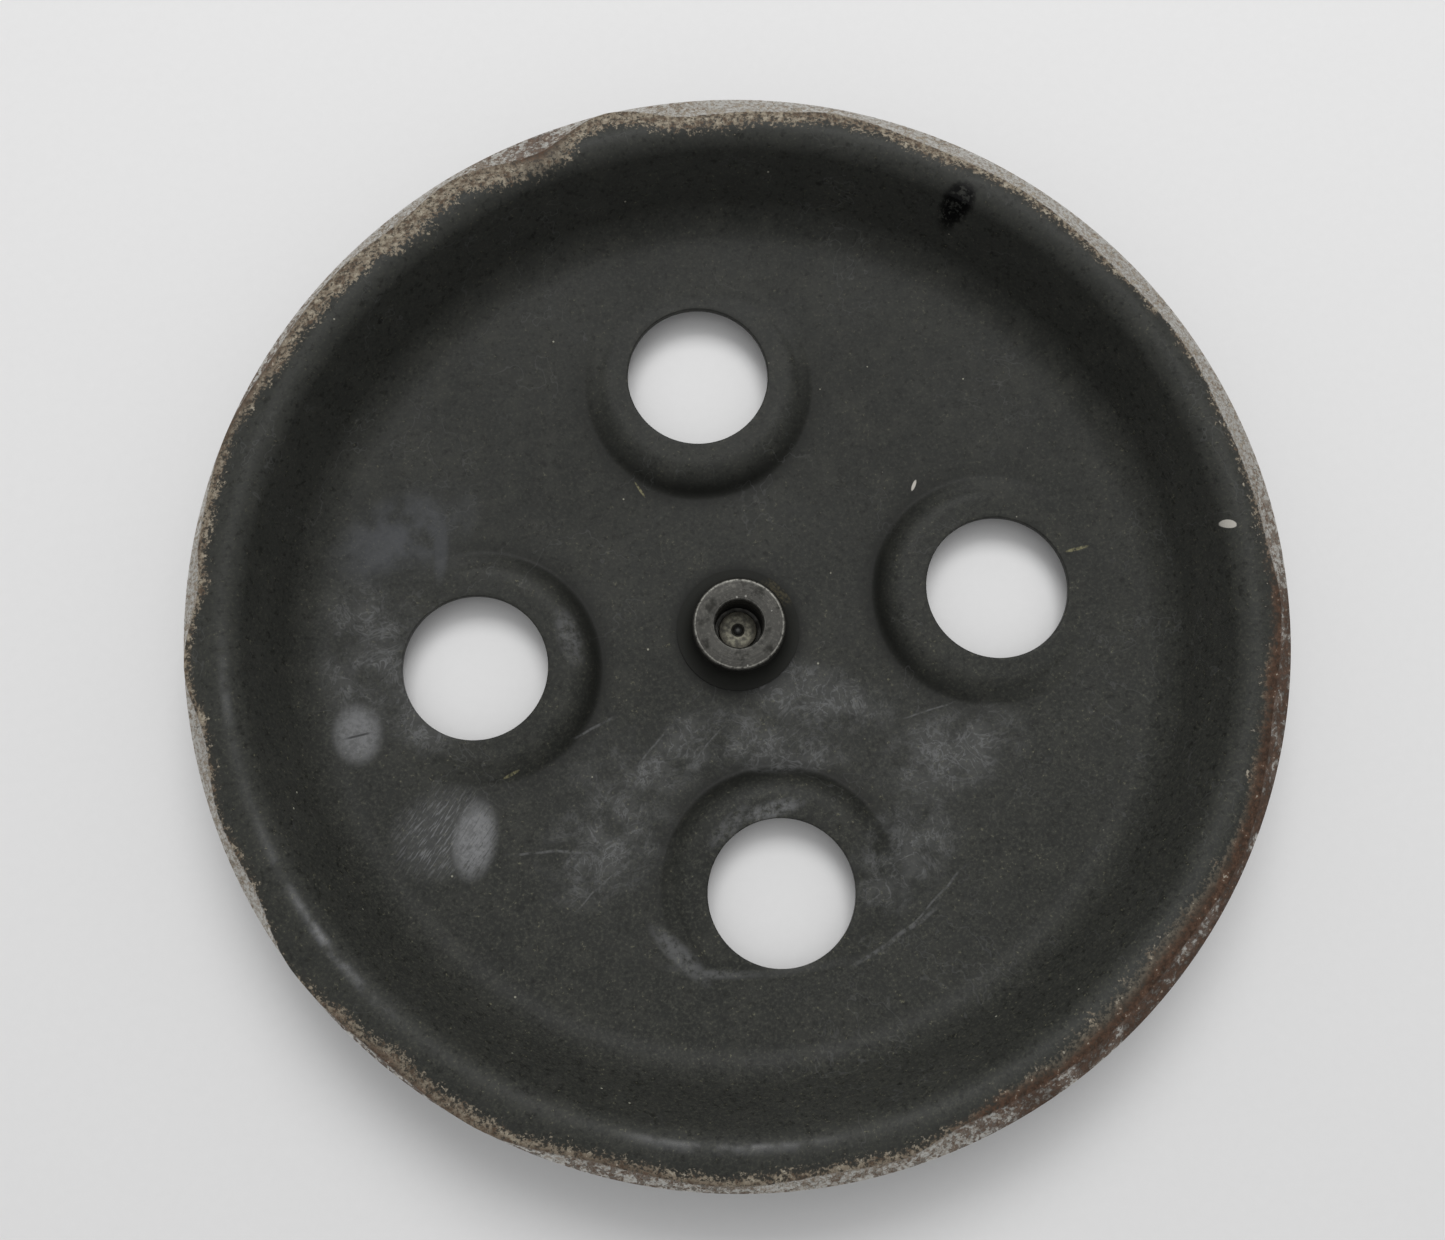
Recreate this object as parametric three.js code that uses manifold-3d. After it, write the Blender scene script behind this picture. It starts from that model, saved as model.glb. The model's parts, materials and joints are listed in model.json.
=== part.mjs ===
// Wheel head of a banding wheel: a dished disc of pressed steel, turned at its edge, with a riveted
// steel hub. The hub's blind socket drops over a spindle, which bears on a small ball at its floor.
// Frame: millimetres, +Z up out of the socket and the hollow side, origin on the wheel's axis in the
// plane that the hub's riveted head rests on. The four hand holes are centred on +X, +Y, -X and -Y.
import * as THREE from "three";
import { mergeVertices } from "three/addons/utils/BufferGeometryUtils.js";
import Module from "manifold-3d";

// ---- driving dimensions, mm ----

// pressed disc
const OUTER_RADIUS = 127;
const SHEET = 2;
const DISH_DEPTH = 31; // flat of the web to the crest of the rim
const WEB_FLAT_RADIUS = 38;

// rim, from the wall of the dish out to the turned edge
const LIP_WIDTH = 8; // crest of the rim to the edge
const LIP_SLOPE = THREE.MathUtils.degToRad(20);
const WALL_SLOPE = THREE.MathUtils.degToRad(69);
const WALL_FOOT_RADIUS = 11;
const RIM_ROLL_RADIUS = 6;
const BEVEL_WIDTH = 3.2;
const EDGE_LAND = 0.9;

// raised pads and their hand holes
const PAD_COUNT = 4;
const PAD_PITCH_RADIUS = 65;
const PAD_HEIGHT = 5;
const HOLE_RADIUS = 17.7;
const PAD_FLAT_MARGIN = 4; // flat ring round the hole, before the roll starts
const PAD_ROLL_WIDTH = 8.6;
const CREASE_MARGIN = 2.3; // far edge of the hole to the crease where the pad runs into the web

// hub
const HUB_RADIUS = 11.5;
const HUB_STAND = 9.9; // hub face above the flat of the web
const HUB_CHAMFER = 0.6;
const FOOT_FILLET = 3.7;
const FOOT_EDGE = 0.5;
const TENON_RADIUS = 10;
const HEAD_RADIUS = 12.5;
const HEAD_HEIGHT = 1.5;
const HEAD_ROUND = 1.2;

// socket, thrust button and ball
const SOCKET_RADIUS = 5.85;
const SOCKET_DEPTH = 10.5; // hub face to the face of the button
const MOUTH_CHAMFER = 0.4;
const BUTTON_RADIUS = 4.8;
const BUTTON_LENGTH = 2.9; // its underside is level with the riveted head
const BUTTON_CHAMFER = 0.3;
const GROOVE_DEPTH = 1; // ring of space round the button's face
const TAIL_WALL = 2.5; // metal round the button where it reaches below the riveted head
const BALL_RADIUS = 1.19;
const BALL_STAND = 0.3; // top of the ball above the button's face
const CUP_MOUTH_RADIUS = 1.68;
const CUP_MOUTH_DEPTH = 0.4;

// clearances
const TENON_CLEARANCE = 0.1;
const BUTTON_CLEARANCE = 0.05;
const BALL_CLEARANCE = 0.1;

// facets
const DISC_SEGMENTS = 64;
const PAD_SEGMENTS = 32;
const HUB_SEGMENTS = 40;
const BALL_SEGMENTS = 16;
const ROUND_STEPS = 5;
const HEAD_STEPS = 4;

// ---- sizes worked out from the driving dimensions ----

const webBack = HEAD_HEIGHT;
const webFace = webBack + SHEET;
const crestHeight = webFace + DISH_DEPTH;
const crestRadius = OUTER_RADIUS - LIP_WIDTH;
const padFace = webFace + PAD_HEIGHT;
const padFlatRadius = HOLE_RADIUS + PAD_FLAT_MARGIN;
const creaseRadius = PAD_PITCH_RADIUS + HOLE_RADIUS + CREASE_MARGIN;
const webSlope = Math.atan2(PAD_HEIGHT, creaseRadius - WEB_FLAT_RADIUS);
const hubFace = webFace + HUB_STAND;
const buttonFace = hubFace - SOCKET_DEPTH;
const buttonBack = buttonFace - BUTTON_LENGTH;
const ballHeight = buttonFace + BALL_STAND - BALL_RADIUS;

const wasm = await Module();
wasm.setup();

// ---- helpers ----

// A closed solid of revolution about +Z from a profile of [radius, height] points.
function turned(profile, segments) {
  const points = profile.map(([radius, height]) => new THREE.Vector2(radius, height));
  const geometry = new THREE.LatheGeometry(points, segments);
  geometry.rotateX(Math.PI / 2);
  return geometry;
}

// Points of an arc about a centre, from one angle to another, both ends included.
function arc(centreRadius, centreHeight, radius, from, to, steps = ROUND_STEPS) {
  return Array.from({ length: steps + 1 }, (_, i) => {
    const angle = from + ((to - from) * i) / steps;
    return [centreRadius + radius * Math.cos(angle), centreHeight + radius * Math.sin(angle)];
  });
}

function toSolid(geometry) {
  const bare = geometry.clone();
  bare.deleteAttribute("normal");
  bare.deleteAttribute("uv");
  const merged = mergeVertices(bare);
  return new wasm.Manifold(new wasm.Mesh({
    numProp: 3,
    vertProperties: new Float32Array(merged.attributes.position.array),
    triVerts: new Uint32Array(merged.index.array),
  }));
}

function toGeometry(solid) {
  const mesh = solid.getMesh();
  const geometry = new THREE.BufferGeometry();
  geometry.setAttribute("position", new THREE.BufferAttribute(mesh.vertProperties, 3));
  geometry.setIndex(new THREE.BufferAttribute(mesh.triVerts, 1));
  geometry.computeVertexNormals();
  return geometry;
}

function piece(name, geometry, material) {
  const mesh = new THREE.Mesh(geometry, material);
  mesh.name = name;
  return mesh;
}

// ---- pressed disc ----

// The hollow side of the sheet from the flat web out to a radius on the lip. Each point carries the
// slope of the sheet there, so the back of the sheet is the same line moved along its normal.
function sheetLine(endRadius) {
  const rollCentre = [crestRadius, crestHeight - RIM_ROLL_RADIUS];
  const onRoll = (slope) => [
    rollCentre[0] - RIM_ROLL_RADIUS * Math.sin(slope),
    rollCentre[1] + RIM_ROLL_RADIUS * Math.cos(slope),
  ];
  const [wallTopRadius, wallTopHeight] = onRoll(WALL_SLOPE);
  const rise = wallTopHeight - webFace - (wallTopRadius - WEB_FLAT_RADIUS) * Math.tan(webSlope);
  const run = rise / (Math.tan(WALL_SLOPE) - Math.tan(webSlope));
  const cornerRadius = wallTopRadius - run;
  const cornerHeight = wallTopHeight - run * Math.tan(WALL_SLOPE);
  const tangent = WALL_FOOT_RADIUS * Math.tan((WALL_SLOPE - webSlope) / 2);
  const footRadius = cornerRadius - tangent * Math.cos(webSlope) - WALL_FOOT_RADIUS * Math.sin(webSlope);
  const footHeight = cornerHeight - tangent * Math.sin(webSlope) + WALL_FOOT_RADIUS * Math.cos(webSlope);

  const line = [{ radius: WEB_FLAT_RADIUS, height: webFace, slope: webSlope / 2 }];
  for (let i = 0; i <= ROUND_STEPS; i += 1) {
    const slope = webSlope + ((WALL_SLOPE - webSlope) * i) / ROUND_STEPS;
    line.push({
      radius: footRadius + WALL_FOOT_RADIUS * Math.sin(slope),
      height: footHeight - WALL_FOOT_RADIUS * Math.cos(slope),
      slope,
    });
  }
  const rollSteps = ROUND_STEPS + 2;
  for (let i = 0; i <= rollSteps; i += 1) {
    const slope = WALL_SLOPE - ((WALL_SLOPE + LIP_SLOPE) * i) / rollSteps;
    const [radius, height] = onRoll(slope);
    line.push({ radius, height, slope });
  }
  const last = line[line.length - 1];
  const fall = (endRadius - last.radius) * Math.tan(LIP_SLOPE);
  line.push({ radius: endRadius, height: last.height - fall, slope: -LIP_SLOPE });
  return line;
}

function backOf({ radius, height, slope }) {
  return [radius + SHEET * Math.sin(slope), height - SHEET * Math.cos(slope)];
}

// Everything under the hollow side of the sheet, with the turned bevel and land at the edge.
function spaceUnderFace(floor, landTop) {
  const face = sheetLine(OUTER_RADIUS - BEVEL_WIDTH).map(({ radius, height }) => [radius, height]);
  return toSolid(turned(
    [[0, floor], [OUTER_RADIUS, floor], [OUTER_RADIUS, landTop], ...face.reverse(), [0, webFace]],
    DISC_SEGMENTS,
  ));
}

// Everything under the back of the sheet.
function spaceUnderBack(floor) {
  const back = sheetLine(OUTER_RADIUS + SHEET).map(backOf);
  const reach = back[back.length - 1][0];
  return toSolid(turned([[0, floor], [reach, floor], ...back.reverse(), [0, webBack]], DISC_SEGMENTS));
}

// A round-shouldered dome about the pad's own axis: the pad itself, or the recess behind it.
function padDome(face, rollWidth, foot, floor) {
  const shoulder = Array.from({ length: ROUND_STEPS + 1 }, (_, i) => {
    const turn = (Math.PI / 2) * (1 - i / ROUND_STEPS);
    return [padFlatRadius + rollWidth * Math.sin(turn), foot + (face - foot) * Math.cos(turn)];
  });
  return turned([[0, floor], [padFlatRadius + rollWidth, floor], ...shoulder, [0, face]], PAD_SEGMENTS);
}

function wheelDisc() {
  const lip = sheetLine(OUTER_RADIUS).at(-1);
  const edgeBottom = lip.height - SHEET / Math.cos(LIP_SLOPE);
  const floor = webBack - SHEET;
  let face = spaceUnderFace(floor, edgeBottom + EDGE_LAND);
  let back = spaceUnderBack(floor - SHEET);
  const tenonHole = TENON_RADIUS + TENON_CLEARANCE;
  let holes = toSolid(turned(
    [[0, floor], [tenonHole, floor], [tenonHole, hubFace], [0, hubFace]],
    HUB_SEGMENTS,
  ));
  for (let i = 0; i < PAD_COUNT; i += 1) {
    const angle = (2 * Math.PI * i) / PAD_COUNT;
    const place = [PAD_PITCH_RADIUS * Math.cos(angle), PAD_PITCH_RADIUS * Math.sin(angle), 0];
    const pad = padDome(padFace, PAD_ROLL_WIDTH, webFace, floor).translate(...place);
    const recess = padDome(padFace - SHEET, PAD_ROLL_WIDTH - SHEET, webBack, floor - SHEET);
    const hole = turned(
      [[0, floor], [HOLE_RADIUS, floor], [HOLE_RADIUS, crestHeight], [0, crestHeight]],
      PAD_SEGMENTS,
    );
    face = face.add(toSolid(pad));
    back = back.add(toSolid(recess.translate(...place)));
    holes = holes.add(toSolid(hole.translate(...place)));
  }
  return toGeometry(face.subtract(back).subtract(holes));
}

// ---- hub ----

// Boss with a filleted foot on the web, a tenon through the disc and a head riveted over its back.
// Where the button reaches below the head's plane, a tail on the hub goes down with it and holds it.
function hub() {
  const footRadius = HUB_RADIUS + FOOT_FILLET;
  const filletHeight = webFace + FOOT_EDGE + FOOT_FILLET;
  const seatRadius = BUTTON_RADIUS + BUTTON_CLEARANCE;
  const grooveFloor = buttonFace - GROOVE_DEPTH;
  const tailRadius = seatRadius + TAIL_WALL;
  const underside = buttonBack < 0
    ? [[seatRadius, buttonBack], [tailRadius, buttonBack], [tailRadius, 0]]
    : [[seatRadius, 0]];
  const profile = [
    ...underside,
    ...arc(HEAD_RADIUS - HEAD_ROUND, HEAD_ROUND, HEAD_ROUND, -Math.PI / 2, 0, HEAD_STEPS),
    [HEAD_RADIUS, HEAD_HEIGHT],
    [TENON_RADIUS, HEAD_HEIGHT],
    [TENON_RADIUS, webFace],
    [footRadius, webFace],
    ...arc(footRadius, filletHeight, FOOT_FILLET, -Math.PI / 2, -Math.PI),
    [HUB_RADIUS, hubFace - HUB_CHAMFER],
    [HUB_RADIUS - HUB_CHAMFER, hubFace],
    [SOCKET_RADIUS + MOUTH_CHAMFER, hubFace],
    [SOCKET_RADIUS, hubFace - MOUTH_CHAMFER],
    [SOCKET_RADIUS, grooveFloor],
    [seatRadius, grooveFloor],
    underside[0],
  ];
  return turned(profile, HUB_SEGMENTS);
}

// ---- thrust button and ball ----

// Plug in the hub's tail, with a cup in its face for the ball.
function thrustButton() {
  const cupRadius = BALL_RADIUS + BALL_CLEARANCE;
  const coneFoot = buttonFace - CUP_MOUTH_DEPTH;
  const cupEnd = Math.asin((coneFoot - ballHeight) / cupRadius);
  const profile = [
    [0, buttonBack],
    [BUTTON_RADIUS - BUTTON_CHAMFER, buttonBack],
    [BUTTON_RADIUS, buttonBack + BUTTON_CHAMFER],
    [BUTTON_RADIUS, buttonFace - BUTTON_CHAMFER],
    [BUTTON_RADIUS - BUTTON_CHAMFER, buttonFace],
    [CUP_MOUTH_RADIUS, buttonFace],
    ...arc(0, ballHeight, cupRadius, cupEnd, -Math.PI / 2).slice(0, -1),
    [0, ballHeight - cupRadius],
  ];
  return turned(profile, BALL_SEGMENTS * 2);
}

function thrustBall() {
  return new THREE.SphereGeometry(BALL_RADIUS, BALL_SEGMENTS, BALL_SEGMENTS / 2);
}

// ---- materials and assembly ----

const blackenedSteel = new THREE.MeshStandardMaterial({ color: "#3b3b38", roughness: 0.55, metalness: 0.4 });
const turnedSteel = new THREE.MeshStandardMaterial({ color: "#5c5b57", roughness: 0.45, metalness: 0.8 });
const wornBronze = new THREE.MeshStandardMaterial({ color: "#8a8172", roughness: 0.4, metalness: 0.8 });
const ballSteel = new THREE.MeshStandardMaterial({ color: "#8d8f90", roughness: 0.2, metalness: 1 });

const wheel = new THREE.Group();
wheel.add(piece("wheel_disc", wheelDisc(), blackenedSteel));
wheel.add(piece("hub", hub(), turnedSteel));
wheel.add(piece("thrust_button", thrustButton(), wornBronze));

const ball = piece("thrust_ball", thrustBall(), ballSteel);
ball.rotation.x = Math.PI / 2;
ball.position.z = ballHeight;
wheel.add(ball);

export default wheel;
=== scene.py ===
# %% [markdown]
# # The wheel head of a banding wheel
#
# A banding wheel is a potter's small turntable. This is its head, lying on its back: a dished disc
# of pressed steel under worn black paint, with four hand holes in raised pads, an edge turned to
# bare metal, and a short hub with a socket that drops over a spindle.
#
# The sizes, places and joints were settled in CAD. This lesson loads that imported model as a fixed
# frame and builds a finely shaped, well finished piece for each CAD part, exactly where it is.

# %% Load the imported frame
import json
import math

import bmesh
import bpy
import numpy as np
from mathutils import Euler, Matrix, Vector


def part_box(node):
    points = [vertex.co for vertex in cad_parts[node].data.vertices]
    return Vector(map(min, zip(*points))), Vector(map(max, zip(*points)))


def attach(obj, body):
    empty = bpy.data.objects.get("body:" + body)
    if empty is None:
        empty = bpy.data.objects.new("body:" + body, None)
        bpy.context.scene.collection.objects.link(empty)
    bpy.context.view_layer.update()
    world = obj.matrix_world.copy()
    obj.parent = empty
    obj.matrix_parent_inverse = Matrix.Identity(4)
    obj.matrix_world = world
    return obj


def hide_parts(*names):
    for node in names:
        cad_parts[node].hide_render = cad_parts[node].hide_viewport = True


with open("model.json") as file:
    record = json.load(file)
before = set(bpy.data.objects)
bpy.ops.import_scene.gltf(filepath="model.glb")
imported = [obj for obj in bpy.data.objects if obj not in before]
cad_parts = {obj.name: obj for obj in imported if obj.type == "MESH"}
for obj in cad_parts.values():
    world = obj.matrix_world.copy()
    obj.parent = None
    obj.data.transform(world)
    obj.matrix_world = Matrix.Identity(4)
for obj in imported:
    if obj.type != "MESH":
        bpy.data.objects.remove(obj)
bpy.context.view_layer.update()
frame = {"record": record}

# %% [markdown]
# ## Measure the frame
#
# Blender works in metres. A wheel like this is easier to think about in millimetres, so the frame
# is read into millimetres once, and every finished mesh is scaled back as it is made. Whatever the
# frame can say, such as the overall radius or the height of a face, is read from it, and only the
# shapes in between are given here.

# %% Read sizes from the frame
MM = 0.001


def box_mm(node):
    low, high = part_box(node)
    return np.array(low) / MM, np.array(high) / MM


disc_low, disc_high = box_mm("wheel_disc")
hub_high = box_mm("hub")[1]
button_high = box_mm("thrust_button")[1]
ball_high = box_mm("thrust_ball")[1]
mounts = {mount["name"]: np.array(mount["pos_m"]) / MM for mount in frame["record"]["mounts"]}

OUTER_RADIUS = disc_high[0]
CREST_HEIGHT = disc_high[2]
WEB_BACK = disc_low[2]
PAD_FACE = mounts["pad_face"][2]
HUB_FACE = mounts["hub_face"][2]
SHEET = 2.0
WEB_FACE = WEB_BACK + SHEET
print(f"disc {2 * OUTER_RADIUS:.1f} mm across, crest at {CREST_HEIGHT:.2f}, web at {WEB_FACE:.2f} mm")

# %% [markdown]
# ## Camera
#
# The wheel is seen from almost straight above, from a little towards its lower edge, through a
# normal lens held close. That closeness matters: it is what makes the far wall of the dish look
# narrow and lets the socket's floor slide off centre.

# %% Place the camera
CAMERA_PLACE = Vector((-0.0193, -0.0510, 0.3455))
CAMERA_TURN = (math.radians(9.276), math.radians(-1.204), math.radians(-9.042))

camera_data = bpy.data.cameras.new("bench_camera")
camera_data.lens = 34.66
camera_data.sensor_width = 36
camera_data.clip_start = 0.01
camera = bpy.data.objects.new("bench_camera", camera_data)
camera.location = CAMERA_PLACE
camera.rotation_euler = Euler(CAMERA_TURN, "XYZ")
bpy.context.scene.collection.objects.link(camera)
bpy.context.scene.camera = camera
print(f"camera {CAMERA_PLACE.length:.3f} m from the wheel's middle, lens {camera_data.lens} mm")

# %% [markdown]
# ## Shader sums as plain expressions
#
# A material is a graph of nodes, and long graphs are hard to read as lists of links. So a socket is
# wrapped in a small class, `Wire`, that knows sums: `1 - mask` adds a Math node and gives back its
# output. Vectors and colours go through Vector Math instead, because a Math node would flatten them
# to one grey number. `Finish.node` adds any other node.

# %% Wires that know sums
class Wire:
    """An output socket that can be added, multiplied and compared."""

    def __init__(self, finish, socket):
        self.finish = finish
        self.socket = socket

    def combine(self, operation, other, swapped=False):
        kind = "ShaderNodeMath" if self.socket.type == "VALUE" else "ShaderNodeVectorMath"
        first, second = (other, self) if swapped else (self, other)
        return self.finish.node(kind, {"operation": operation}, {0: first, 1: second})

    def __add__(self, other):
        return self.combine("ADD", other)

    def __radd__(self, other):
        return self.combine("ADD", other, swapped=True)

    def __sub__(self, other):
        return self.combine("SUBTRACT", other)

    def __rsub__(self, other):
        return self.combine("SUBTRACT", other, swapped=True)

    def __mul__(self, other):
        return self.combine("MULTIPLY", other)

    def __rmul__(self, other):
        return self.combine("MULTIPLY", other, swapped=True)

    def __truediv__(self, other):
        return self.combine("DIVIDE", other)

    def __lt__(self, other):
        return self.combine("LESS_THAN", other)

    def __abs__(self):
        return self.finish.node("ShaderNodeMath", {"operation": "ABSOLUTE"}, {0: self})


class Finish:
    """A material under construction. Its places are in millimetres on the resting object."""

    def __init__(self, name):
        self.material = bpy.data.materials.new(name)
        self.material.use_nodes = True
        self.tree = self.material.node_tree
        self.tree.nodes.clear()
        self.place = self.node("ShaderNodeTexCoord", output="Object") * (1 / MM)
        split = self.node("ShaderNodeSeparateXYZ", inputs={0: self.place})
        self.x, self.y, self.z = (Wire(self, out) for out in split.socket.node.outputs)
        self.radius = self.node("ShaderNodeVectorMath", {"operation": "LENGTH"},
                                {0: self.place * (1, 1, 0)}, output="Value")

    def node(self, kind, settings=None, inputs=None, output=0):
        made = self.tree.nodes.new(kind)
        for name, value in (settings or {}).items():
            setattr(made, name, value)
        for key, value in (inputs or {}).items():
            socket = made.inputs[key]
            if isinstance(value, Wire):
                self.tree.links.new(value.socket, socket)
            elif socket.type == "VECTOR" and np.isscalar(value):
                socket.default_value = (value, value, value)
            elif socket.type == "RGBA":
                socket.default_value = (*value, 1.0)
            else:
                socket.default_value = value
        return Wire(self, made.outputs[output])

    def rise(self, value, low, high):
        """0 below low, 1 above high and a smooth step between them."""
        return self.node("ShaderNodeMapRange", {"interpolation_type": "SMOOTHSTEP"},
                         {0: value, 1: low, 2: high, 3: 0.0, 4: 1.0})

    def clouds(self, size, detail, roughness=0.55, place=None, distortion=0.0):
        """Soft noise from 0 to 1 whose blotches are about size millimetres across."""
        return self.node("ShaderNodeTexNoise", None, {
            "Vector": self.place if place is None else place, "Scale": 1 / size,
            "Detail": detail, "Roughness": roughness, "Distortion": distortion})

    def specks(self, spacing, radius, share):
        """Scattered dots: one place for a dot every spacing millimetres, of which a share is used."""
        cells = self.node("ShaderNodeTexVoronoi", None, {"Vector": self.place, "Scale": 1 / spacing})
        colour = Wire(self, cells.socket.node.outputs["Color"])
        pick = self.node("ShaderNodeSeparateColor", None, {0: colour})
        near = 1 - self.rise(cells, 0.5 * radius / spacing, radius / spacing)
        return near * (pick < share)

    def hairlines(self, size, width, distortion):
        """Thin curling lines, as left by rubbing grit: where soft noise crosses its middle value."""
        wander = self.clouds(size, 4.0, 0.6, distortion=distortion)
        return 1 - self.rise(abs(wander - 0.5), 0.0, width)

    def layer(self, mask, under, over):
        """The colour under, covered by the colour over where mask is 1."""
        return self.node("ShaderNodeMix", {"data_type": "RGBA"}, {0: mask, 6: under, 7: over}, 2)

    def blend(self, mask, under, over):
        """The number under, going to the number over where mask is 1."""
        return under + (over - under) * mask if isinstance(under, Wire) else (over - under) * mask + under

    def done(self, colour, roughness, metallic, height, bump_mm, **uniform):
        bump = self.node("ShaderNodeBump", None,
                         {"Strength": 1.0, "Distance": bump_mm * MM, "Height": height})
        sockets = {"Base Color": colour, "Roughness": roughness, "Metallic": metallic, "Normal": bump}
        surface = self.node("ShaderNodeBsdfPrincipled", None, {**sockets, **uniform})
        end = self.tree.nodes.new("ShaderNodeOutputMaterial")
        self.tree.links.new(surface.socket, end.inputs["Surface"])
        print(f"finish {self.material.name}: {len(self.tree.nodes)} nodes")
        return self.material


print("ready: Wire for sums and Finish for materials")


# %% [markdown]
# ## The bench and its light
#
# The head lies on plain white paper, on its riveted head. The light is soft: a broad panel behind
# the wheel's upper edge gives the shadow under the near rim, a wide pale ceiling puts the grey sheen
# on the flat of the web, and a smaller lamp draws the thin streaks along the rolled rim. Big panels
# are used and not points, because a point light would give the paint hard white dots.

# %% Paper, panels and a pale room
PAPER_SIZE = 3.0


def bench_paper():
    mesh = bpy.data.meshes.new("bench_paper")
    half = PAPER_SIZE / 2
    corners = [(-half, -half, 0), (half, -half, 0), (half, half, 0), (-half, half, 0)]
    mesh.from_pydata(corners, [], [(0, 1, 2, 3)])
    paper = bpy.data.objects.new("bench_paper", mesh)
    bpy.context.scene.collection.objects.link(paper)
    finish = Finish("bench_paper")
    fibre = finish.clouds(2.5, 4.0)
    tone = finish.layer(fibre, (0.725, 0.723, 0.723), (0.75, 0.748, 0.748))
    mesh.materials.append(finish.done(tone, 0.9, 0.0, fibre, 0.02))


def soft_panel(name, place, size, watts):
    """A soft rectangular lamp that looks at the wheel's middle."""
    data = bpy.data.lights.new(name, "AREA")
    data.shape = "RECTANGLE"
    data.size, data.size_y = size
    data.energy = watts
    panel = bpy.data.objects.new(name, data)
    panel.location = place
    panel.rotation_mode = "QUATERNION"
    panel.rotation_quaternion = (-Vector(place)).to_track_quat("-Z", "Y")
    bpy.context.scene.collection.objects.link(panel)


bench_paper()
soft_panel("window_panel", (0.14, 0.84, 1.26), (0.85, 0.6), 11.2)
soft_panel("ceiling_panel", (0.05, 0.22, 1.5), (1.6, 1.6), 5.6)
soft_panel("lamp", (0.25, 0.40, 1.35), (0.22, 0.22), 0.8)

room = bpy.data.worlds.new("pale_room")
room.use_nodes = True
room.node_tree.nodes["Background"].inputs["Color"].default_value = (0.99, 0.995, 1.0, 1.0)
room.node_tree.nodes["Background"].inputs["Strength"].default_value = 0.42
bpy.context.scene.world = room
bpy.context.scene.view_settings.view_transform = "Standard"

# %% [markdown]
# ## The section of the pressed sheet
#
# The disc began as a flat blank and was pressed between dies, so its section is a chain of straights
# and arcs: a flat middle, a shallow cone, a rounded foot, a steep wall, and a rolled rim that falls
# away to the edge. A spline through points would wobble, so the section is written as that chain.

# %% Sizes of the section
WEB_FLAT_RADIUS = 38.0
WEB_BEND = 3.0
LIP_WIDTH = 8.0
LIP_SLOPE = math.radians(20)
WALL_SLOPE = math.radians(69)
WALL_FOOT_RADIUS = 11.0
RIM_ROLL_RADIUS = 6.0
EDGE_LAND = 0.9
EDGE_ROUND = 0.15
LAND_ROUND = 0.12

MOUNT_TO_HOLE_AXIS = 19.9
PAD_PITCH_RADIUS = mounts["pad_face"][0] + MOUNT_TO_HOLE_AXIS
HOLE_RADIUS = 17.7
CREASE_MARGIN = 2.3
CREASE_RADIUS = PAD_PITCH_RADIUS + HOLE_RADIUS + CREASE_MARGIN
WEB_SLOPE = math.atan2(PAD_FACE - WEB_FACE, CREASE_RADIUS - WEB_FLAT_RADIUS)
CREST_RADIUS = OUTER_RADIUS - LIP_WIDTH
ROLL_HEIGHT = CREST_HEIGHT - RIM_ROLL_RADIUS


def roll_point(slope):
    return (CREST_RADIUS - RIM_ROLL_RADIUS * math.sin(slope),
            ROLL_HEIGHT + RIM_ROLL_RADIUS * math.cos(slope))


def wall_foot():
    """Centre of the rounded foot between the shallow cone and the wall."""
    top_radius, top_height = roll_point(WALL_SLOPE)
    cone_height = WEB_FACE + (top_radius - WEB_FLAT_RADIUS) * math.tan(WEB_SLOPE)
    run = (top_height - cone_height) / (math.tan(WALL_SLOPE) - math.tan(WEB_SLOPE))
    corner = (top_radius - run, top_height - run * math.tan(WALL_SLOPE))
    tangent = WALL_FOOT_RADIUS * math.tan((WALL_SLOPE - WEB_SLOPE) / 2)
    return (corner[0] - tangent * math.cos(WEB_SLOPE) - WALL_FOOT_RADIUS * math.sin(WEB_SLOPE),
            corner[1] - tangent * math.sin(WEB_SLOPE) + WALL_FOOT_RADIUS * math.cos(WEB_SLOPE))


FOOT_CENTRE = wall_foot()
LIP_START = roll_point(-LIP_SLOPE)


def lip_height(radius):
    """Height of the rim from its crest outwards: the end of the roll, then the straight lip."""
    rolled = ROLL_HEIGHT + np.sqrt(np.maximum(RIM_ROLL_RADIUS**2 - (radius - CREST_RADIUS) ** 2, 0))
    straight = LIP_START[1] - (radius - LIP_START[0]) * math.tan(LIP_SLOPE)
    return np.where(radius < LIP_START[0], rolled, straight)


EDGE_BOTTOM = float(lip_height(OUTER_RADIUS)) - SHEET / math.cos(LIP_SLOPE)
LAND_TOP = EDGE_BOTTOM + EDGE_LAND
print(f"web slope {math.degrees(WEB_SLOPE):.2f} deg, wall foot centre {np.round(FOOT_CENTRE, 2)}")

# %% [markdown]
# ## The pads round the hand holes
#
# Each hand hole is punched through a flat raised pad, so its edge is stiff and safe for fingers. The
# pad's shoulder rolls down to the web on the hub's side, and dies out on the far side, where the
# cone of the web has climbed to the pad's own height and leaves only a crease.
#
# The web is treated as a height over each point. Where two shapes meet, a smooth maximum joins them
# with a fillet, and the fillet is made broad where the shoulder is steep and tight at the crease.

# %% Height of the hollow side of the web
PAD_FLAT_RADIUS = HOLE_RADIUS + 4.4
SHOULDER_RADIUS = 8.2
SHOULDER_SLOPE = math.radians(60)
SHOULDER_FILLET = 2.4
CREASE_FILLET = 0.12
FILLET_SPAN = 6.0
SHOULDER_FOOT = PAD_FLAT_RADIUS + 8.4
PAD_ANGLES = [math.radians(90 * i) for i in range(4)]


def smooth_step(value, low, high):
    t = np.clip((value - low) / (high - low), 0, 1)
    return t * t * (3 - 2 * t)


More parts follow.
